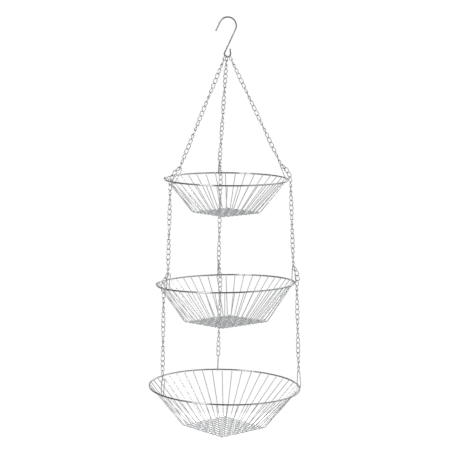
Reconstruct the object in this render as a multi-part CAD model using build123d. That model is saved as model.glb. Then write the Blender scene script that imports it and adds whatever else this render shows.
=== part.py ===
"""Three-tier hanging fruit basket in chrome-plated wire.

An S-hook carries three chains of twisted curb links. Each chain runs unbroken
past three round-rimmed wire baskets, and a long wire clip on one of its links
holds up each rim. The seat is where a ceiling hook bears inside the S-hook's
upper bend, and it is the origin: +X right, +Y to the back, +Z up.
"""
from build123d import *
import os
from math import acos, asin, atan2, ceil, cos, degrees, pi, radians, sin, sqrt

# Wire diameters
hook_wire = 2.8
chain_wire = 1.5
clip_wire = 1.6
rim_wire = 3.0
basket_wire = 1.7

# S-hook, along the middle of its wire
hook_bend_radius = 16.5
hook_eye_radius = 6.0
hook_bend_spacing = 53.6
hook_tip_leg = 19.0
hook_eye_leg = 9.5
hook_eye_turn = 212.0
first_link_fans = {"left": -44.0, "back": -12.0, "right": 44.5}

# Chain links: the pitch is the longest that a taut chain takes
link_pitch = 9.85
link_width = 7.9
link_twist = 64.0
bar_gap = 0.1
swing_gap = 0.42

# Links that pass a rim: how far they bulge, and where they stand beside it
rim_link_count = 4
rim_link_bulge = 24.0
rim_link_turn = 82.0
chain_stand_off = 5.0
chain_side_step = 3.5

# Clips, from the middle of the rim wire to the middle of the top bend: a tear-drop
# whose wide end holds the rim, except on the side where it holds the chain
clip_reach = 31.0
clip_wide_radius = 3.6
clip_wide_top_side = "left"
clip_slip = 1.8
clip_rim_gap = 0.25
clip_eye_gap = 0.55
clip_shift = 1.0
rim_link_shift = 0.9

# Basket wires
base_pitch = 10.9
base_overhang = 5.0
foot_cut = 4.5
weld_gap = 0.15
lay_gap = 0.05

# Each basket: rim radius to the middle of its wire, rim height below the seat,
# depth, wires in each of the two sets, turn of the base, and small hanging tilts
top_rim_radius = 120.0
top_rim_drop = 309.7
top_depth = 66.0
top_wire_count = 9
top_turn = 86.0
middle_rim_radius = 134.8
middle_rim_drop = 514.4
middle_depth = 76.5
middle_wire_count = 11
middle_turn = 85.5
middle_tilt_back = 2.3
middle_tilt_left = 1.35
bottom_rim_radius = 148.2
bottom_rim_drop = 720.1
bottom_depth = 82.4
bottom_wire_count = 11
bottom_turn = 88.0
bottom_tilt_right = 0.86

# Where the three chains pass each rim, as bearings from +X towards +Y
top_bearings = {"left": 214.0, "back": 97.2, "right": 6.5}
middle_bearings = {"left": 215.0, "back": 96.2, "right": 5.5}
bottom_bearings = {"left": 216.5, "back": 95.5, "right": 6.0}

# Facets, kept few because the links repeat some two hundred times
hook_sides = 8
hook_bend_steps = 10
hook_eye_steps = 14
rim_sides = 5
rim_steps = 56
clip_bend_steps = 5
link_bend_steps = 3
triangle_reach_share = 1.34
square_half_share = 0.886

sides = ("left", "back", "right")
up = Vector(0, 0, 1)
hook_radius = hook_wire / 2
link_bar_length = link_pitch + chain_wire + bar_gap
link_bar_width = link_width - chain_wire


def regular_section(diameter, count):
    """Corners of a regular polygon whose flats clear a round wire's middle alike."""
    reach = diameter / 2 / sqrt(cos(pi / count))
    angles = [2 * pi * (i + 0.5) / count for i in range(count)]
    return [(reach * cos(a), reach * sin(a)) for a in angles]


def square_section(diameter):
    """A square with about the area of the round wire."""
    half = diameter / 2 * square_half_share
    return [(half, half), (-half, half), (-half, -half), (half, -half)]


def triangle_section(diameter):
    """A triangle with one flat turned inwards, against the neighbouring link."""
    reach = diameter / 2 * triangle_reach_share
    return [(reach * cos(a), reach * sin(a)) for a in (0, 2 * pi / 3, 4 * pi / 3)]


def faceted_wire(middles, outs, section, closed):
    """A bent wire with flat facets, through the given middles.

    Each out vector is the section's first axis at that middle.
    """
    count = len(middles)
    rings = []
    for i, (middle, out) in enumerate(zip(middles, outs)):
        before = middles[(i - 1) % count] if closed or i > 0 else middle
        after = middles[(i + 1) % count] if closed or i < count - 1 else middle
        along = (after - before).normalized()
        out = (out - along * out.dot(along)).normalized()
        side = along.cross(out)
        rings.append([middle + out * u + side * v for u, v in section])
    faces = []
    for i in range(count if closed else count - 1):
        here, there = rings[i], rings[(i + 1) % count]
        for k in range(len(section)):
            m = (k + 1) % len(section)
            faces.append(Face(Wire.make_polygon([here[k], here[m], there[m]])))
            faces.append(Face(Wire.make_polygon([here[k], there[m], there[k]])))
    if not closed:
        faces.append(Face(Wire.make_polygon(rings[0])))
        faces.append(Face(Wire.make_polygon(rings[-1])))
    return Solid(Shell(faces))


def bend_points(centre, start, end, steps, radius):
    """Points round a bend in the XZ plane, angles in degrees from +X towards +Z."""
    angles = [radians(start + (end - start) * i / steps) for i in range(steps + 1)]
    return [centre + Vector(cos(a), 0, sin(a)) * radius for a in angles]


def make_hook():
    """The S-hook: two opposite bends on one leaning shank, in the XZ plane."""
    lean = degrees(acos(sqrt(1 - ((hook_bend_radius + hook_eye_radius) / hook_bend_spacing) ** 2)))
    shank_side = -lean
    top = bend_points(hook_centre, 180 + shank_side, shank_side, hook_bend_steps, hook_bend_radius)
    low_start = 180 + shank_side
    low = bend_points(eye_centre, low_start, low_start + hook_eye_turn, hook_eye_steps, hook_eye_radius)
    tip_way = Vector(-sin(radians(lean)), 0, -cos(radians(lean)))
    end_angle = radians(low_start + hook_eye_turn)
    eye_way = Vector(-sin(end_angle), 0, cos(end_angle))
    middles = [top[0] + tip_way * hook_tip_leg] + top + low + [low[-1] + eye_way * hook_eye_leg]
    outs = [Vector(0, 1, 0)] * len(middles)
    return faceted_wire(middles, outs, regular_section(hook_wire, hook_sides), False)


def make_link():
    """One curb link: an oval of wire, twisted along its length, hanging down from z = 0."""
    half = link_bar_width / 2
    steps = [pi * i / link_bend_steps for i in range(link_bend_steps + 1)]
    reach = half / cos(pi / link_bend_steps / 2)
    oval = [(reach * cos(a), reach * sin(a) - half) for a in steps]
    oval += [(reach * cos(a + pi), reach * sin(a + pi) + half - link_bar_length) for a in steps]
    middles, outs = [], []
    for i, (x, z) in enumerate(oval):
        turn = -radians(link_twist) * z / link_bar_length
        around = Vector(cos(turn), sin(turn), 0)
        middles.append(around * x + up * z)
        centre_z = -half if i <= link_bend_steps else half - link_bar_length
        outs.append(around * x + up * (z - centre_z))
    return faceted_wire(middles, outs, triangle_section(chain_wire), True)


def make_clip(wide_top):
    """A long closed tear-drop loop of wire in the XZ plane, with the rim's middle at z = 0."""
    seat_z = -(rim_wire + clip_wire) / 2 - clip_rim_gap
    low = -seat_z if wide_top else clip_wide_radius
    high = clip_wide_radius if wide_top else (chain_wire + clip_wire) / 2 + clip_eye_gap
    step = pi / clip_bend_steps
    stretch = 1 / cos(step / 2)
    inside = clip_wide_radius - clip_wire / 2
    rise = inside - sqrt(inside ** 2 - clip_slip ** 2) if wide_top else 0
    low_z, top_z = seat_z + low, clip_reach + rise - high
    turns = [step * i for i in range(clip_bend_steps + 1)]
    middles = [Vector(cos(a), 0, sin(a)) * (high * stretch) + up * top_z for a in turns]
    middles += [Vector(cos(a + pi), 0, sin(a + pi)) * (low * stretch) + up * low_z for a in turns]
    outs = [Vector(0, 1, 0)] * len(middles)
    return faceted_wire(middles, outs, square_section(clip_wire), True)


class Basket:
    """One tier: its sizes, where it hangs and where the chains pass its rim."""

    def __init__(self, name, radius, drop, depth, count, turn, bearings, tilt_x=0.0, tilt_y=0.0):
        self.name, self.radius, self.drop, self.depth = name, radius, drop, depth
        self.count, self.turn, self.bearings = count, turn, bearings
        self.place = Location((0, 0, -drop), (tilt_x, tilt_y, 0))

    def rim_point(self, side):
        """The middle of the rim wire where a chain passes."""
        angle = radians(self.bearings[side])
        local = Location((self.radius * cos(angle), self.radius * sin(angle), 0))
        return (self.place * local).position

    def outward(self, side):
        angle = radians(self.bearings[side])
        return Vector(cos(angle), sin(angle), 0)

    def along_rim(self, side):
        angle = radians(self.bearings[side])
        return Vector(-sin(angle), cos(angle), 0)

    def make_rim(self):
        turns = [2 * pi * i / rim_steps for i in range(rim_steps)]
        stretch = 2 / (1 + cos(pi / rim_steps))
        outs = [Vector(cos(a), sin(a), 0) for a in turns]
        middles = [out * (self.radius * stretch) for out in outs]
        ring = faceted_wire(middles, outs, regular_section(rim_wire, rim_sides), True)
        return [ring.moved(self.place)]

    def wire_points(self, index, heading, lift):
        """One basket wire, from the rim down, across the base and up to the rim again."""
        shift = index - (self.count - 1) / 2
        along = Vector(cos(radians(heading)), sin(radians(heading)), 0)
        across = Vector(-along.Y, along.X, 0)
        reach = (self.count - 1) / 2 * base_pitch + base_overhang
        landing_radius = self.radius - rim_wire / 2 - basket_wire / 2 - weld_gap
        points = []
        for way in (1, -1):
            bearing = radians(heading + 90 * (1 - way) + way * shift * 90 / self.count)
            landing = Vector(cos(bearing), sin(bearing), 0) * landing_radius
            foot = along * (way * reach) + across * (shift * base_pitch) + up * (lift - self.depth)
            cut_up = foot + (landing - foot).normalized() * foot_cut
            half = [landing, cut_up, foot - along * (way * foot_cut)]
            points += half if way == 1 else half[::-1]
        return points, across

    def make_wires(self, heading, lift):
        wires = []
        for index in range(self.count):
            points, across = self.wire_points(index, heading, lift)
            outs = [across] * len(points)
            wires.append(faceted_wire(points, outs, square_section(basket_wire), False).moved(self.place))
        return wires


class Run:
    """A straight or bent run of links: where each one's top bar is, which way it hangs, its turn."""

    def __init__(self, tops, ways, level, turns):
        self.tops, self.ways, self.level, self.turns = tops, ways, level, turns

    def solids(self, link):
        placed = []
        for top, way, turn in zip(self.tops, self.ways, self.turns):
            first = (self.level - way * self.level.dot(way)).normalized()
            second = (way * -1).cross(first)
            wide = first * cos(radians(turn)) + second * sin(radians(turn))
            placed.append(link.moved(Plane(top, x_dir=wide, z_dir=way * -1).location))
        return placed


def turns_between(first_turn, count):
    """Turns of linked links, a quarter turn from bar to bar, that end with a level bar."""
    step = link_twist + 90
    end = first_turn + link_twist + (count - 1) * step
    spare = (-end + 90) % 180 - 90
    return [first_turn + i * (step + spare / (count - 1)) for i in range(count)]


def taut_tops(start, end):
    """Top bars of a taut chain between two points, at most a pitch apart, and its direction."""
    length = (end - start).length
    count = ceil(length / link_pitch)
    way = (end - start).normalized()
    return [start + way * (length * i / count) for i in range(count)], way


class Chain:
    """One of the three chains, from the hook past the three rims."""

    def __init__(self, side, fan, baskets):
        self.side = side
        fan_way = Vector(sin(radians(fan)), 0, -cos(radians(fan)))
        hook_point = eye_centre + fan_way * hook_eye_radius
        hook_lean = (hook_point - baskets[0].rim_point(side)).normalized()
        start = hook_point + hook_lean * (hook_radius + chain_wire / 2 + swing_gap)
        self.runs, self.clips, self.hinges, self.eye_hinges = {}, {}, {}, {}
        for i, basket in enumerate(baskets):
            rim = basket.rim_point(side)
            lean = (start - rim).normalized()
            eye = rim + lean * clip_reach
            tops, way = taut_tops(start, eye - lean * (swing_gap - bar_gap))
            level = basket.along_rim(side)
            if i == 0:
                first = (level - way * level.dot(way)).normalized()
                second = (way * -1).cross(first)
                hook_side = Vector(0, 1, 0)
                turn = degrees(atan2(hook_side.dot(second), hook_side.dot(first)))
                turns = turns_between(turn, len(tops))
            else:
                passing = self.runs[baskets[i - 1].name + "_rim_links"]
                turns = turns_between(rim_link_turn, rim_link_count + len(tops))
                passing.turns = turns[:rim_link_count]
                turns = turns[rim_link_count:]
            self.runs[basket.name + "_chain"] = Run(tops, [way] * len(tops), level, turns)
            last_bar = tops[-1] + way * link_bar_length
            self.eye_hinges[basket.name] = (eye + last_bar) * 0.5
            last = basket is baskets[-1]
            shift = 0 if last else clip_shift
            lift = (clip_wire - chain_wire) / 2
            side_way = level * shift
            out = basket.outward(side)
            slip = clip_slip if side == clip_wide_top_side else 0
            rise_way = (lean * clip_reach - out * slip).normalized()
            place = Plane(rim + side_way + lean * lift, x_dir=out, z_dir=rise_way)
            self.clips[basket.name] = place.location
            if not last:
                start = self.pass_rim(basket, rim, last_bar, level * -rim_link_shift)

    def pass_rim(self, basket, rim, held_by, side_way):
        """Links that hang from the bar that also holds the clip, and bulge outwards past the rim."""
        side, pitch = self.side, link_pitch - bar_gap
        out = basket.outward(side)
        seat = chain_wire + swing_gap
        bulge = radians(rim_link_bulge)
        bends = [bulge * (1 - 2 * i / (rim_link_count - 1)) for i in range(rim_link_count)]
        straight = pitch * sum(cos(bend) for bend in bends) - seat * cos(bulge)
        aside = seat * sin(bulge)
        wide = chain_stand_off + (rim - held_by).dot(out)
        slope = asin(wide / sqrt(straight ** 2 + aside ** 2)) + atan2(aside, straight)
        aslant = basket.along_rim(side) * (-chain_side_step / straight)
        ways = [out * sin(slope + bend) - up * cos(slope + bend) + aslant for bend in bends]
        ways = [way.normalized() for way in ways]
        tops = [held_by + side_way - ways[0] * seat]
        for way in ways:
            tops.append(tops[-1] + way * pitch)
        last_bar = tops[-2] + ways[-1] * link_bar_length
        next_top = last_bar - ways[-1] * seat
        self.runs[basket.name + "_rim_links"] = Run(tops[:-1], ways, basket.along_rim(side), [])
        self.hinges[basket.name] = (next_top + last_bar) * 0.5
        return next_top


hook_centre = Vector(0, 0, hook_radius - hook_bend_radius)
eye_centre = hook_centre - up * hook_bend_spacing
tiers = [
    Basket("top", top_rim_radius, top_rim_drop, top_depth, top_wire_count, top_turn, top_bearings),
    Basket("middle", middle_rim_radius, middle_rim_drop, middle_depth, middle_wire_count,
           middle_turn, middle_bearings, -middle_tilt_back, -middle_tilt_left),
    Basket("bottom", bottom_rim_radius, bottom_rim_drop, bottom_depth, bottom_wire_count,
           bottom_turn, bottom_bearings, 0, bottom_tilt_right),
]
chains = [Chain(side, first_link_fans[side], tiers) for side in sides]


def build():
    """Every sub-part, as a dictionary of node name to solids."""
    nodes = {"s_hook": [make_hook()]}
    link = make_link()
    clips = {side: make_clip(side == clip_wide_top_side) for side in sides}
    for chain in chains:
        for run_name, run in chain.runs.items():
            nodes[run_name + "_" + chain.side] = run.solids(link)
        for tier_name, place in chain.clips.items():
            nodes[tier_name + "_clip_" + chain.side] = [clips[chain.side].moved(place)]
    for tier in tiers:
        nodes[tier.name + "_rim"] = tier.make_rim()
        nodes[tier.name + "_wires_lower"] = tier.make_wires(tier.turn + 45, 0)
        nodes[tier.name + "_wires_upper"] = tier.make_wires(tier.turn - 45, basket_wire + lay_gap)
    return nodes


nodes = build()
os.makedirs("parts", exist_ok=True)
for name, solids in nodes.items():
    export_step(Compound(label=name, children=solids), "parts/" + name + ".step")
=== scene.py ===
import math
import bpy
import numpy as np
from mathutils import Euler, Matrix, Vector


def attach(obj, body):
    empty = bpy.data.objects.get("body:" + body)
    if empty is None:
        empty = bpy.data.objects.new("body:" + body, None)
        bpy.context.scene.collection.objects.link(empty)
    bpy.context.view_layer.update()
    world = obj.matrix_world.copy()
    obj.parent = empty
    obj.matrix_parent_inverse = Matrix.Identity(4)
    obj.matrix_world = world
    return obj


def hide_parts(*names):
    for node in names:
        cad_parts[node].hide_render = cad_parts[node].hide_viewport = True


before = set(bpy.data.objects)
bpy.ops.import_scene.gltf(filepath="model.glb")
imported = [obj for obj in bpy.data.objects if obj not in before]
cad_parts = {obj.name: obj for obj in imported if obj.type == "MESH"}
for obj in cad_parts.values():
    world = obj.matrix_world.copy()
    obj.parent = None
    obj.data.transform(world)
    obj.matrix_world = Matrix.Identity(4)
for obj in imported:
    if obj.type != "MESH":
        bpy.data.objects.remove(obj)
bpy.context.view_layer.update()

# Sizes in mm and angles in degrees
MM = 0.001
hook_wire = 2.8
chain_wire = 1.5
clip_wire = 1.6
rim_wire = 3.0
basket_wire = 1.7
hook_bend_radius = 16.5
hook_eye_radius = 6.0
hook_bend_spacing = 53.6
hook_tip_leg = 19.0
hook_eye_leg = 9.5
hook_eye_turn = 212.0
first_link_fans = {"left": -44.0, "back": -12.0, "right": 44.5}
link_pitch = 9.85
link_width = 7.9
link_twist = 64.0
bar_gap = 0.1
swing_gap = 0.42
rim_link_count = 4
rim_link_bulge = 24.0
rim_link_turn = 82.0
rim_link_shift = 0.9
chain_stand_off = 5.0
chain_side_step = 3.5
clip_reach = 31.0
clip_wide_radius = 3.6
clip_wide_top_side = "left"
clip_slip = 1.8
clip_rim_gap = 0.25
clip_eye_gap = 0.55
clip_shift = 1.0
base_pitch = 10.9
base_overhang = 5.0
foot_cut = 4.5
weld_gap = 0.15
lay_gap = 0.05
baskets = [
    {"name": "top", "radius": 120.0, "drop": 309.7, "depth": 66.0, "count": 9, "turn": 86.0,
     "tilt": (0.0, 0.0), "bearings": {"left": 214.0, "back": 97.2, "right": 6.5}},
    {"name": "middle", "radius": 134.8, "drop": 514.4, "depth": 76.5, "count": 11, "turn": 85.5,
     "tilt": (-2.3, -1.35), "bearings": {"left": 215.0, "back": 96.2, "right": 5.5}},
    {"name": "bottom", "radius": 148.2, "drop": 720.1, "depth": 82.4, "count": 11, "turn": 88.0,
     "tilt": (0.0, 0.86), "bearings": {"left": 216.5, "back": 95.5, "right": 6.0}},
]
chain_sides = ("left", "back", "right")

# Taken off a visible wire's radius, so that it stays in the CAD's box and clears its neighbours
hook_skin = 0.092
rim_skin = 0.04
basket_skin = 0.09
link_skin = 0.04
clip_skin = 0.04
# How far a narrow-topped clip rises past its CAD solid, for the same reason
eye_lift = 0.15

# Details of the visible pieces: lengths in mm, shares, and places along a link's straight bars
least_step = 0.02
least_end_share = 0.25
link_bow = 0.10
link_side_places = [part / 6 for part in range(1, 6)]
link_seam_places = (0.18, 0.38, 0.46, 0.485, 0.5, 0.515, 0.54, 0.62, 0.82)
link_seam_shares = {0.485: 0.97, 0.5: 0.78, 0.515: 0.97}
clip_seam_height_share = 0.5
clip_seam_reach = 2.4
clip_seam_share = 1.10
# The swelling at a rim's butt joint, by the step round the rim
rim_joint_shares = {91: 1.04, 92: 1.10, 93: 1.04}
tip_rise = 0.9
tip_reach = 0.2
crossing_run_out = 0.5
corner_rise_share = 0.35
bead_size = (0.95, 1.15, 0.8)
bead_inset_share = 0.45
bead_drop = 0.2

# How finely each form is swept
end_steps = 6
hook_facets = 20
hook_bend_steps = 44
hook_eye_steps = 36
hook_shank_steps = 16
hook_tip_steps = 6
hook_eye_tip_steps = 4
link_facets = 10
link_arc_points = 11
clip_facets = 14
clip_arc_steps = 16
clip_side_steps = 12
rim_facets = 16
rim_steps = 240
basket_facets = 10
leg_steps = 9
foot_steps = 9
crossing_steps = 8
bead_rings = 6
bead_facets = 8

# Worked out from the sizes
hook_radius = hook_wire / 2
link_bar_length = link_pitch + chain_wire + bar_gap
link_half = (link_width - chain_wire) / 2
weave_rise = basket_wire / 2 + lay_gap / 2
up = np.array((0.0, 0.0, 1.0))
to_right = np.array((1.0, 0.0, 0.0))
to_back = np.array((0.0, 1.0, 0.0))
steepest_for_up = 0.9


def unit(v):
    return v / np.linalg.norm(v)


def turned(angle):
    """The level direction at a bearing."""
    return np.array((math.cos(math.radians(angle)), math.sin(math.radians(angle)), 0.0))


def placed(basket, points):
    """Points of a level basket at the origin, moved to the basket's own place and tilt."""
    return np.asarray(points) @ basket["rot"].T + basket["middle"]


for basket in baskets:
    tilt_x, tilt_y = basket["tilt"]
    basket["rot"] = np.array(Euler((math.radians(tilt_x), math.radians(tilt_y), 0.0), "ZYX").to_matrix())
    basket["middle"] = np.array((0.0, 0.0, -basket["drop"]))


# Swept round wire
class Build:
    """Gathers swept wires into one mesh."""

    def __init__(self):
        self.verts, self.faces, self.count = [], [], 0

    def add(self, verts, faces):
        self.verts.append(np.asarray(verts))
        self.faces.append(np.asarray(faces) + self.count)
        self.count += len(verts)

    def wire(self, path, radius, facets, closed=False, facing=None):
        """Sweeps a circle along a path; radius is one value or one for each point."""
        path = np.asarray(path, float)
        n = len(path)
        radii = np.broadcast_to(np.asarray(radius, float), (n,))
        if closed:
            along = np.roll(path, -1, 0) - np.roll(path, 1, 0)
        else:
            along = np.gradient(path, axis=0)
        along /= np.linalg.norm(along, axis=1)[:, None]
        out = facing
        if out is None:
            out = up if abs(along[0][2]) < steepest_for_up else to_right
        outs = []
        for t in along:
            out = unit(out - t * out.dot(t))
            outs.append(out)
        outs = np.array(outs)
        turn = np.zeros(n)
        if closed:
            end = unit(outs[-1] - along[0] * outs[-1].dot(along[0]))
            lag = math.atan2(np.cross(outs[0], end).dot(along[0]), outs[0].dot(end))
            turn = -lag * np.arange(n) / n
        side = np.cross(along, outs)
        a = (np.arange(facets) * 2 * math.pi / facets)[None, :] + turn[:, None]
        ring = (path[:, None, :] + outs[:, None, :] * (np.cos(a) * radii[:, None])[:, :, None]
                + side[:, None, :] * (np.sin(a) * radii[:, None])[:, :, None])
        verts = ring.reshape(-1, 3)
        rows = n if closed else n - 1
        i = np.arange(rows)[:, None] * facets
        j = (np.arange(rows)[:, None] + 1) % n * facets
        k = np.arange(facets)[None, :]
        m = (k + 1) % facets
        quads = np.stack([i + k, i + m, j + m, j + k], -1).reshape(-1, 4)
        if closed:
            self.add(verts, quads)
            return
        first_tip = n * facets
        last_ring = (n - 1) * facets
        caps = []
        for q in range(facets):
            r = (q + 1) % facets
            caps.append((first_tip, r, q, q))
            caps.append((first_tip + 1, last_ring + q, last_ring + r, last_ring + r))
        self.add(np.vstack([verts, path[0], path[-1]]), np.vstack([quads, np.array(caps)]))

    def bead(self, centre, axes):
        """A small rounded weld, flattened along its axes."""
        verts = [(0, 0, 1.0)]
        for i in range(1, bead_rings):
            t = math.pi * i / bead_rings
            for k in range(bead_facets):
                a = 2 * math.pi * k / bead_facets
                verts.append((math.sin(t) * math.cos(a), math.sin(t) * math.sin(a), math.cos(t)))
        verts.append((0, 0, -1.0))
        verts = centre + np.array(verts) * np.asarray(bead_size) @ np.asarray(axes)
        last = 1 + (bead_rings - 2) * bead_facets
        faces = []
        for k in range(bead_facets):
            m = (k + 1) % bead_facets
            faces.append((0, 1 + k, 1 + m, 1 + m))
            faces.append((len(verts) - 1, last + m, last + k, last + k))
            for i in range(bead_rings - 2):
                a = 1 + i * bead_facets
                faces.append((a + k, a + bead_facets + k, a + bead_facets + m, a + m))
        self.add(verts, faces)

    def piece(self, name, body, nodes, material):
        """Makes the gathered mesh the visible form of the given CAD nodes."""
        verts = np.vstack(self.verts) * MM
        faces = np.vstack(self.faces)
        mesh = bpy.data.meshes.new(name)
        rows = [tuple(dict.fromkeys(int(q) for q in f)) for f in faces]
        mesh.from_pydata([tuple(v) for v in verts], [], rows)
        mesh.validate()
        mesh.shade_smooth()
        thing = bpy.data.objects.new(name, mesh)
        bpy.context.scene.collection.objects.link(thing)
        mesh.materials.append(material)
        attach(thing, body)
        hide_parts(*nodes)


def arc(centre, radius, start, end, steps):
    """Points of an arc in the XZ plane."""
    angles = np.radians(np.linspace(start, end, steps + 1))
    return [centre + np.array((math.cos(a), 0, math.sin(a))) * radius for a in angles]


def line(a, b, steps):
    return [a + (b - a) * i / steps for i in range(steps + 1)]


def bend(a, corner, b, steps):
    """Points of a round bend from a to b that a corner draws out."""
    return [a * (1 - t) ** 2 + corner * 2 * t * (1 - t) + b * t * t for t in np.linspace(0, 1, steps + 1)]


def close_run(a, b, length, steps):
    """A straight run whose first part has close points, for a rounded end."""
    way = unit(b - a)
    near = []
    for i in range(end_steps + 1):
        near.append(a + way * length * (1 - math.cos(math.pi / 2 * i / end_steps)))
    return near + line(near[-1], b, steps)[1:]


def thinned(path):
    """Drops points that lie on the one before."""
    kept = [path[0]]
    for p in path[1:]:
        if np.linalg.norm(p - kept[-1]) > least_step:
            kept.append(p)
    return np.array(kept)


def round_ends(path, radius, length):
    """Radii that round off both ends of an open wire over the given length."""
    steps = np.linalg.norm(np.diff(path, axis=0), axis=1)
    run = np.concatenate([[0], np.cumsum(steps)])
    near = np.minimum(run, run[-1] - run) / length
    share = np.sqrt(np.clip(1 - (1 - np.clip(near, 0, 1)) ** 2, 0, 1))
    return radius * np.maximum(share, least_end_share)


# Materials
cloud_scale = 90.0
cloud_detail = 4.0
cloud_dark_end = 0.32
cloud_light_end = 0.62
haze_scale = 260.0
haze_detail = 3.0
pit_scale = 900.0
pit_middle = 0.04
pit_edge = 0.16
ripple_scale = 1400.0
ripple_detail = 2.0
ripple_height = 0.08 * MM


def add_node(tree, kind, **sockets):
    """A node with constants set on its named inputs."""
    node = tree.nodes.new(kind)
    for name, value in sockets.items():
        node.inputs[name.replace("_", " ")].default_value = value
    return node


def empty_material(name):
    material = bpy.data.materials.new(name)
    material.use_nodes = True
    material.node_tree.nodes.clear()
    return material


def chrome(name, light, dark, rough_low, rough_high, ripple):
    """Plated steel wire: faint colour clouds, drawn-wire ripple and a few dull pits."""
    material = empty_material(name)
    tree = material.node_tree
    join = tree.links.new
    coords = add_node(tree, "ShaderNodeTexCoord")
    clouds = add_node(tree, "ShaderNodeTexNoise", Scale=cloud_scale, Detail=cloud_detail)
    haze = add_node(tree, "ShaderNodeTexNoise", Scale=haze_scale, Detail=haze_detail)
    pits = add_node(tree, "ShaderNodeTexVoronoi", Scale=pit_scale)
    fine = add_node(tree, "ShaderNodeTexNoise", Scale=ripple_scale, Detail=ripple_detail)
    for texture in (clouds, haze, pits, fine):
        join(coords.outputs["Object"], texture.inputs["Vector"])
    tone = add_node(tree, "ShaderNodeValToRGB")
    dark_end, light_end = tone.color_ramp.elements
    dark_end.position = cloud_dark_end
    dark_end.color = (*dark, 1)
    light_end.position = cloud_light_end
    light_end.color = (*light, 1)
    join(clouds.outputs["Fac"], tone.inputs["Fac"])
    haze_rough = add_node(tree, "ShaderNodeMapRange", To_Min=rough_low, To_Max=rough_high)
    join(haze.outputs["Fac"], haze_rough.inputs["Value"])
    pit_rough = add_node(tree, "ShaderNodeMapRange", From_Min=pit_middle, From_Max=pit_edge,
                         To_Min=rough_high, To_Max=rough_low)
    join(pits.outputs["Distance"], pit_rough.inputs["Value"])
    rough = add_node(tree, "ShaderNodeMath")
    rough.operation = "MAXIMUM"
    join(pit_rough.outputs["Result"], rough.inputs[0])
    join(haze_rough.outputs["Result"], rough.inputs[1])
    bump = add_node(tree, "ShaderNodeBump", Strength=ripple, Distance=ripple_height)
    join(fine.outputs["Fac"], bump.inputs["Height"])
    shader = add_node(tree, "ShaderNodeBsdfPrincipled", Metallic=1.0)
    join(tone.outputs["Color"], shader.inputs["Base Color"])
    join(rough.outputs["Value"], shader.inputs["Roughness"])
    join(bump.outputs["Normal"], shader.inputs["Normal"])
    join(shader.outputs["BSDF"], add_node(tree, "ShaderNodeOutputMaterial").inputs["Surface"])
    return material


hook_chrome = chrome("hook_chrome", light=(0.38, 0.39, 0.40), dark=(0.25, 0.26, 0.28),
                     rough_low=0.12, rough_high=0.28, ripple=0.25)
rim_chrome = chrome("rim_chrome", light=(0.56, 0.56, 0.57), dark=(0.40, 0.41, 0.43),
                    rough_low=0.04, rough_high=0.10, ripple=0.10)
chain_chrome = chrome("chain_chrome", light=(0.68, 0.68, 0.69), dark=(0.52, 0.52, 0.54),
                      rough_low=0.22, rough_high=0.38, ripple=0.35)
clip_chrome = chrome("clip_chrome", light=(0.74, 0.74, 0.75), dark=(0.60, 0.61, 0.63),
                     rough_low=0.18, rough_high=0.32, ripple=0.30)
wire_chrome = chrome("wire_chrome", light=(0.90, 0.91, 0.92), dark=(0.76, 0.77, 0.79),
                     rough_low=0.20, rough_high=0.34, ripple=0.28)

# S-hook
hook_centre = np.array((0.0, 0.0, hook_radius - hook_bend_radius))
eye_centre = hook_centre - up * hook_bend_spacing


def make_hook():
    """One wire through the upper bend, the leaning shank and the lower bend."""
    lean = math.degrees(math.asin((hook_bend_radius + hook_eye_radius) / hook_bend_spacing))
    shank_side = 180 - lean
    eye_end = shank_side + hook_eye_turn
    top_bend = arc(hook_centre, hook_bend_radius - hook_skin, shank_side, -lean, hook_bend_steps)
    low_bend = arc(eye_centre, hook_eye_radius, shank_side, eye_end, hook_eye_steps)
    tip_way = np.array((-math.sin(math.radians(lean)), 0, -math.cos(math.radians(lean))))
    eye_way = np.array((-math.sin(math.radians(eye_end)), 0, math.cos(math.radians(eye_end))))
    upper_tip = top_bend[0] + tip_way * hook_tip_leg
    lower_tip = low_bend[-1] + eye_way * hook_eye_leg
    path = close_run(upper_tip, top_bend[0], hook_radius, hook_tip_steps) + top_bend[1:]
    path += line(top_bend[-1], low_bend[0], hook_shank_steps)[1:] + low_bend[1:]
    path += close_run(lower_tip, low_bend[-1], hook_radius, hook_eye_tip_steps)[::-1][1:]
    path = thinned(path)
    hook = Build()
    hook.wire(path, round_ends(path, hook_radius - hook_skin, hook_radius), hook_facets, facing=to_back)
    hook.piece("wire_s_hook", "s_hook", ["s_hook"], hook_chrome)


make_hook()


# Chain links
def link_form():
    """The twisted oval of one curb link, hanging down from z = 0, and its wire's radii."""
    straight = link_bar_length - 2 * link_half
    half_turn = [math.pi * i / (link_arc_points - 1) for i in range(link_arc_points)]
    oval = [(link_half * math.cos(a), link_half * (math.sin(a) - 1)) for a in half_turn]
    for s in link_side_places:
        oval.append((-link_half - link_bow * math.sin(math.pi * s), -link_half - straight * s))
    for a in half_turn:
        a += math.pi
        oval.append((link_half * math.cos(a), link_half * (math.sin(a) + 1) - link_bar_length))
    shares = [1.0] * len(oval)
    for s in link_seam_places:
        oval.append((link_half + link_bow * math.sin(math.pi * s), -link_half - straight * (1 - s)))
        shares.append(link_seam_shares.get(s, 1.0))
    path = []
    for x, z in oval:
        turn = -math.radians(link_twist) * z / link_bar_length
        path.append((x * math.cos(turn), x * math.sin(turn), z))
    return np.array(path), (chain_wire / 2 - link_skin) * np.array(shares)


link_path, link_radii = link_form()


def level_axes(way, level):
    """Two directions square to a run: nearly level, and the one beside it."""
    first = unit(level - way * level.dot(way))
    return first, np.cross(-way, first)


def add_link(build, top, way, level, turn):
    """One link under its top point, turned about its run."""
    first, second = level_axes(way, level)
    wide = unit(first * math.cos(math.radians(turn)) + second * math.sin(math.radians(turn)))
    axes = np.array((wide, np.cross(-way, wide), -way))
    build.wire(top + link_path @ axes, link_radii, link_facets, closed=True)


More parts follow.
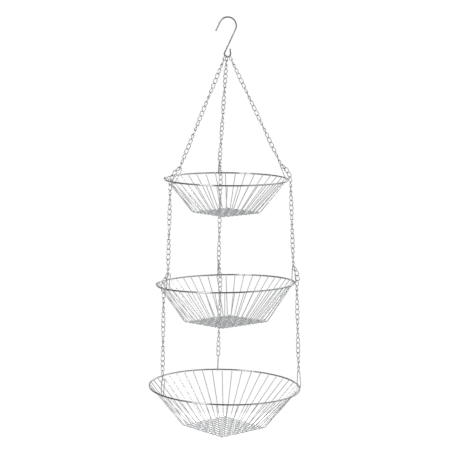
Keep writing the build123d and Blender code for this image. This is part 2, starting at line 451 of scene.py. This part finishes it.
def turns_between(first_turn, count):
    """Even turns of a run's links, from the first to one that the next clip can hold."""
    step = link_twist + 90
    end = first_turn + link_twist + (count - 1) * step
    spare = (-end + 90) % 180 - 90
    return [first_turn + i * (step + spare / (count - 1)) for i in range(count)]


# Clips
def clip_form(wide_top):
    """A clip's long closed tear-drop in its own XZ plane, the rim's middle at the origin, and its radii."""
    seat_z = -(rim_wire + clip_wire) / 2 - clip_rim_gap
    low = -seat_z if wide_top else clip_wide_radius
    high = clip_wide_radius if wide_top else (chain_wire + clip_wire) / 2 + clip_eye_gap
    inside = clip_wide_radius - clip_wire / 2
    rise = inside - math.sqrt(inside ** 2 - clip_slip ** 2) if wide_top else eye_lift
    low_z, top_z = seat_z + low, clip_reach + rise - high
    path = arc(up * top_z, high, 0, 180, clip_arc_steps)
    path += line(path[-1], np.array((-low, 0, low_z)), clip_side_steps)[1:-1]
    path += arc(up * low_z, low, 180, 360, clip_arc_steps)
    path += line(path[-1], np.array((high, 0, top_z)), clip_side_steps)[1:-1]
    path = np.array(path)
    off_seam = np.abs(path[:, 2] - clip_reach * clip_seam_height_share)
    seam = (path[:, 0] > 0) & (off_seam < clip_seam_reach)
    radii = np.full(len(path), clip_wire / 2 - clip_skin)
    radii[seam] *= clip_seam_share
    return path, radii


clip_forms = {wide_top: clip_form(wide_top) for wide_top in (True, False)}


def make_clip(basket, side, rim, out, level, lean, shift):
    """The clip from a rim's point up to its chain."""
    wide_top = side == clip_wide_top_side
    rise_way = unit(lean * clip_reach - out * (clip_slip if wide_top else 0))
    x_way = unit(out - rise_way * out.dot(rise_way))
    axes = np.array((x_way, np.cross(rise_way, x_way), rise_way))
    origin = rim + level * shift + lean * ((clip_wire - chain_wire) / 2)
    path, radii = clip_forms[wide_top]
    loop = Build()
    loop.wire(origin + path @ axes, radii, clip_facets, closed=True)
    name = basket["name"]
    loop.piece(name + "_loop_" + side, name + "_tier", [name + "_clip_" + side], clip_chrome)


# Chains
def links_past_rim(last_bar, rim, out, level):
    """The links that bow out past a rim, and where the next run starts."""
    pitch = link_pitch - bar_gap
    seat = chain_wire + swing_gap
    bulge = math.radians(rim_link_bulge)
    bends = [bulge * (1 - 2 * q / (rim_link_count - 1)) for q in range(rim_link_count)]
    straight = pitch * sum(math.cos(t) for t in bends) - seat * math.cos(bulge)
    aside = seat * math.sin(bulge)
    wide = chain_stand_off + (rim - last_bar).dot(out)
    slope = math.asin(wide / math.hypot(straight, aside)) + math.atan2(aside, straight)
    aslant = level * (-chain_side_step / straight)
    ways = [unit(out * math.sin(slope + t) - up * math.cos(slope + t) + aslant) for t in bends]
    tops = [last_bar - level * rim_link_shift - ways[0] * seat]
    for way in ways[:-1]:
        tops.append(tops[-1] + way * pitch)
    next_start = tops[-1] + ways[-1] * (link_bar_length - seat)
    return {"tops": tops, "ways": ways, "level": level}, next_start


def make_rim_links(basket, side, bowed, turns):
    links = Build()
    for top, way, turn in zip(bowed["tops"], bowed["ways"], turns):
        add_link(links, top, way, bowed["level"], turn)
    name = basket["name"] + "_rim_links_" + side
    links.piece(name + "_chain", basket["name"] + "_tier", [name], chain_chrome)


def make_chain(side):
    """One side's chain and its clips, from the hook down to the bottom rim."""
    fan = math.radians(first_link_fans[side])
    hook_point = eye_centre + np.array((math.sin(fan), 0, -math.cos(fan))) * hook_eye_radius
    start, bowed = None, None
    for place, basket in enumerate(baskets):
        name = basket["name"]
        is_first = place == 0
        is_last = place == len(baskets) - 1
        bearing = basket["bearings"][side]
        out, level = turned(bearing), turned(bearing + 90)
        rim = placed(basket, out * basket["radius"])
        if is_first:
            start = hook_point + unit(hook_point - rim) * (hook_radius + chain_wire / 2 + swing_gap)
        lean = unit(start - rim)
        end = rim + lean * (clip_reach - swing_gap + bar_gap)
        length = np.linalg.norm(end - start)
        count = math.ceil(length / link_pitch)
        way = unit(end - start)
        if is_first:
            first, second = level_axes(way, level)
            turns = turns_between(math.degrees(math.atan2(second[1], first[1])), count)
        else:
            turns = turns_between(rim_link_turn, rim_link_count + count)
            make_rim_links(baskets[place - 1], side, bowed, turns)
            turns = turns[rim_link_count:]
        tops = [start + way * (length * q / count) for q in range(count)]
        run = Build()
        for top, turn in zip(tops, turns):
            add_link(run, top, way, level, turn)
        body = "top_tier" if is_first else name + "_strand_" + side
        run.piece(name + "_run_" + side + "_chain", body, [name + "_chain_" + side], chain_chrome)
        make_clip(basket, side, rim, out, level, lean, 0 if is_last else clip_shift)
        if not is_last:
            bowed, start = links_past_rim(tops[-1] + way * link_bar_length, rim, out, level)


for chain_side in chain_sides:
    make_chain(chain_side)


# Baskets
def make_rim(basket):
    """The rim's ring, with a slight swelling at its butt joint."""
    angles = np.arange(rim_steps) * 2 * math.pi / rim_steps
    path = np.stack([np.cos(angles), np.sin(angles), np.zeros(rim_steps)], -1) * basket["radius"]
    radii = np.full(rim_steps, rim_wire / 2 - rim_skin)
    for step, share in rim_joint_shares.items():
        radii[step] *= share
    name = basket["name"]
    rim = Build()
    rim.wire(placed(basket, path), radii, rim_facets, closed=True)
    rim.piece(name + "_rim_ring", name + "_tier", [name + "_rim"], rim_chrome)


def make_wires(basket, layer, heading):
    """One of a basket's two crossing wire sets, woven over and under the other one."""
    name = basket["name"]
    count = basket["count"]
    sign = 1 if layer == "lower" else -1
    along, across = turned(heading), turned(heading + 90)
    base_half = (count - 1) / 2 * base_pitch
    reach = base_half + base_overhang
    landing_radius = basket["radius"] - rim_wire / 2 - basket_wire / 2 - weld_gap
    floor_up = up * (weave_rise - basket["depth"])
    samples = int(2 * base_half / base_pitch * crossing_steps)
    wires = Build()
    for index in range(count):
        shift = index - (count - 1) / 2
        aside = across * (shift * base_pitch)
        halves = []
        for way in (1, -1):
            out = turned(heading + 90 * (1 - way) + way * shift * 90 / count)
            landing = out * landing_radius
            foot = along * (way * reach) + aside + floor_up
            leg = unit(landing - foot)
            cut = foot + leg * foot_cut
            far_index = count - 1 if way == sign else 0
            rise = sign * (-1) ** (index + far_index) * weave_rise
            crossing_up = up * (weave_rise - basket["depth"] + rise)
            base_end = along * (way * (base_half + crossing_run_out)) + aside + crossing_up
            tip = landing + up * tip_rise + leg * tip_reach
            half = close_run(tip, cut, basket_wire / 2, leg_steps)
            half += bend(cut, foot + up * rise * corner_rise_share, base_end, foot_steps)[1:]
            halves.append(half)
            weld = out * (landing_radius + basket_wire * bead_inset_share) - up * bead_drop
            bead_axes = np.array((out, np.cross(up, out), up)) @ basket["rot"].T
            wires.bead(placed(basket, [weld])[0], bead_axes)
        crossings = []
        for q in range(1, samples):
            t = base_half - 2 * base_half * q / samples
            u = t / base_pitch + (count - 1) / 2
            far = u if layer == "lower" else count - 1 - u
            wave = sign * math.cos(math.pi * (index + far)) * weave_rise
            crossings.append(along * t + aside + up * (weave_rise - basket["depth"] + wave))
        path = thinned(halves[0] + crossings + halves[1][::-1])
        radii = round_ends(path, basket_wire / 2 - basket_skin, basket_wire / 2)
        wires.wire(placed(basket, path), radii, basket_facets)
    wires.piece(name + "_weave_" + layer, name + "_tier", [name + "_wires_" + layer], wire_chrome)


for basket in baskets:
    make_rim(basket)
    make_wires(basket, "lower", basket["turn"] + 45)
    make_wires(basket, "upper", basket["turn"] - 45)

# Floor, in metres
floor_half = 3.2
floor_level = -1.6
floor_colour = (0.86, 0.86, 0.86, 1)
scene = bpy.context.scene


def white_floor(name):
    """White to the camera, and light grey to the lamps and in reflections."""
    material = empty_material(name)
    tree = material.node_tree
    diffuse = add_node(tree, "ShaderNodeBsdfDiffuse", Color=floor_colour)
    glow = add_node(tree, "ShaderNodeEmission")
    path = add_node(tree, "ShaderNodeLightPath")
    both = add_node(tree, "ShaderNodeAddShader")
    out = add_node(tree, "ShaderNodeOutputMaterial")
    tree.links.new(path.outputs["Is Camera Ray"], glow.inputs["Strength"])
    tree.links.new(diffuse.outputs["BSDF"], both.inputs[0])
    tree.links.new(glow.outputs["Emission"], both.inputs[1])
    tree.links.new(both.outputs["Shader"], out.inputs["Surface"])
    return material


floor_mesh = bpy.data.meshes.new("floor")
corners = [(x * floor_half, y * floor_half, floor_level) for x, y in ((-1, -1), (1, -1), (1, 1), (-1, 1))]
floor_mesh.from_pydata(corners, [], [(0, 1, 2, 3)])
floor = bpy.data.objects.new("floor", floor_mesh)
scene.collection.objects.link(floor)
floor_mesh.materials.append(white_floor("floor_white"))

# Studio: grey levels by bearing in degrees, 0 to the right and 90 behind, and by a direction's height
full_turn = (-180, 180)
wall_levels = [
    (-180, 0.03), (-164, 0.03), (-150, 0.60), (-118, 0.70), (-106, 0.06),
    (-90, 0.02), (-64, 0.03), (-44, 0.95), (20, 1.0), (32, 0.50),
    (48, 0.50), (60, 0.95), (80, 0.95), (84, 0.10), (96, 0.10),
    (100, 0.95), (114, 0.90), (126, 0.10), (160, 0.04), (180, 0.03)]
ceiling_levels = [
    (-180, 0.70), (-145, 0.70), (-120, 0.40), (-106, 0.06), (-90, 0.02),
    (-60, 0.03), (-40, 0.05), (5, 0.05), (25, 0.65), (75, 0.72),
    (95, 0.10), (140, 0.05), (158, 0.35), (180, 0.70)]
full_height = (-1, 1)
ceiling_shares = [(-1, 0.0), (0.42, 0.0), (0.62, 1.0), (1, 1.0)]
height_shares = [(-1, 0.35), (-0.5, 0.45), (0.05, 1.0), (1, 1.0)]
# Places of the colour sockets on a Mix node
mix_share, mix_first, mix_second, mix_result = 0, 6, 7, 2

world = bpy.data.worlds.new("studio")
scene.world = world
world.use_nodes = True
studio = world.node_tree
studio.nodes.clear()


def grey_ramp(source, span, stops):
    """A grey level for each value of a source over its span."""
    low, high = span
    place = add_node(studio, "ShaderNodeMapRange", From_Min=low, From_Max=high)
    band = add_node(studio, "ShaderNodeValToRGB")
    ramp = band.color_ramp
    shares = [(at - low) / (high - low) for at, level in stops]
    ramp.elements[0].position, ramp.elements[1].position = shares[0], shares[-1]
    ramp.elements[0].color = (stops[0][1],) * 3 + (1,)
    ramp.elements[1].color = (stops[-1][1],) * 3 + (1,)
    for share, (at, level) in zip(shares[1:-1], stops[1:-1]):
        ramp.elements.new(share).color = (level,) * 3 + (1,)
    studio.links.new(source, place.inputs["Value"])
    studio.links.new(place.outputs["Result"], band.inputs["Fac"])
    return band.outputs["Color"]


def studio_math(operation):
    node = add_node(studio, "ShaderNodeMath")
    node.operation = operation
    return node


def studio_mix(blend, first, second):
    """Mixes two colours; the share is set or linked by the caller."""
    node = add_node(studio, "ShaderNodeMix")
    node.data_type = "RGBA"
    node.blend_type = blend
    studio.links.new(first, node.inputs[mix_first])
    studio.links.new(second, node.inputs[mix_second])
    return node


def make_studio():
    """A dark room on the camera's side with panels round the rest, white to the camera itself."""
    way = add_node(studio, "ShaderNodeSeparateXYZ")
    angle = studio_math("ARCTAN2")
    bearing = studio_math("MULTIPLY")
    studio.links.new(add_node(studio, "ShaderNodeTexCoord").outputs["Generated"], way.inputs["Vector"])
    studio.links.new(way.outputs["Y"], angle.inputs[0])
    studio.links.new(way.outputs["X"], angle.inputs[1])
    studio.links.new(angle.outputs["Value"], bearing.inputs[0])
    bearing.inputs[1].default_value = 180 / math.pi
    walls = grey_ramp(bearing.outputs["Value"], full_turn, wall_levels)
    ceiling = grey_ramp(bearing.outputs["Value"], full_turn, ceiling_levels)
    round_about = studio_mix("MIX", walls, ceiling)
    studio.links.new(grey_ramp(way.outputs["Z"], full_height, ceiling_shares), round_about.inputs[mix_share])
    height = grey_ramp(way.outputs["Z"], full_height, height_shares)
    dimmed = studio_mix("MULTIPLY", round_about.outputs[mix_result], height)
    dimmed.inputs[mix_share].default_value = 1.0
    room = add_node(studio, "ShaderNodeBackground")
    white = add_node(studio, "ShaderNodeBackground", Color=(1, 1, 1, 1))
    seen = add_node(studio, "ShaderNodeMixShader")
    rays = add_node(studio, "ShaderNodeLightPath")
    out = add_node(studio, "ShaderNodeOutputWorld")
    studio.links.new(dimmed.outputs[mix_result], room.inputs["Color"])
    studio.links.new(rays.outputs["Is Camera Ray"], seen.inputs["Fac"])
    studio.links.new(room.outputs["Background"], seen.inputs[1])
    studio.links.new(white.outputs["Background"], seen.inputs[2])
    studio.links.new(seen.outputs["Shader"], out.inputs["Surface"])


make_studio()


# Lamps, in metres and watts
def soft_light(name, place, aim, width, power):
    lamp = bpy.data.lights.new(name, "AREA")
    lamp.shape = "SQUARE"
    lamp.size = width
    lamp.energy = power
    thing = bpy.data.objects.new(name, lamp)
    thing.location = place
    thing.rotation_euler = (Vector(aim) - Vector(place)).to_track_quat("-Z", "Y").to_euler()
    scene.collection.objects.link(thing)


soft_light("key", place=(-1.6, -2.0, 1.1), aim=(0, 0, -0.4), width=1.2, power=30)
soft_light("fill", place=(2.0, -1.4, 0.1), aim=(0, 0, -0.45), width=1.4, power=3)
soft_light("back", place=(0.6, 2.2, 0.8), aim=(0, 0, -0.4), width=1.6, power=8)

# Camera: its place in metres, and angles in degrees
camera_place = (-0.0019, -3.033, 0.009)
camera_dip = 7.67
camera_roll = 0.5
camera = bpy.data.cameras.new("camera")
camera.sensor_width = 36.0
camera.lens = 126.0
view = bpy.data.objects.new("camera", camera)
pitch_turn = Matrix.Rotation(math.radians(90 - camera_dip), 4, "X")
roll_turn = Matrix.Rotation(math.radians(camera_roll), 4, "Z")
view.matrix_world = Matrix.Translation(camera_place) @ pitch_turn @ roll_turn
scene.collection.objects.link(view)
scene.camera = view
scene.view_settings.view_transform = "Standard"
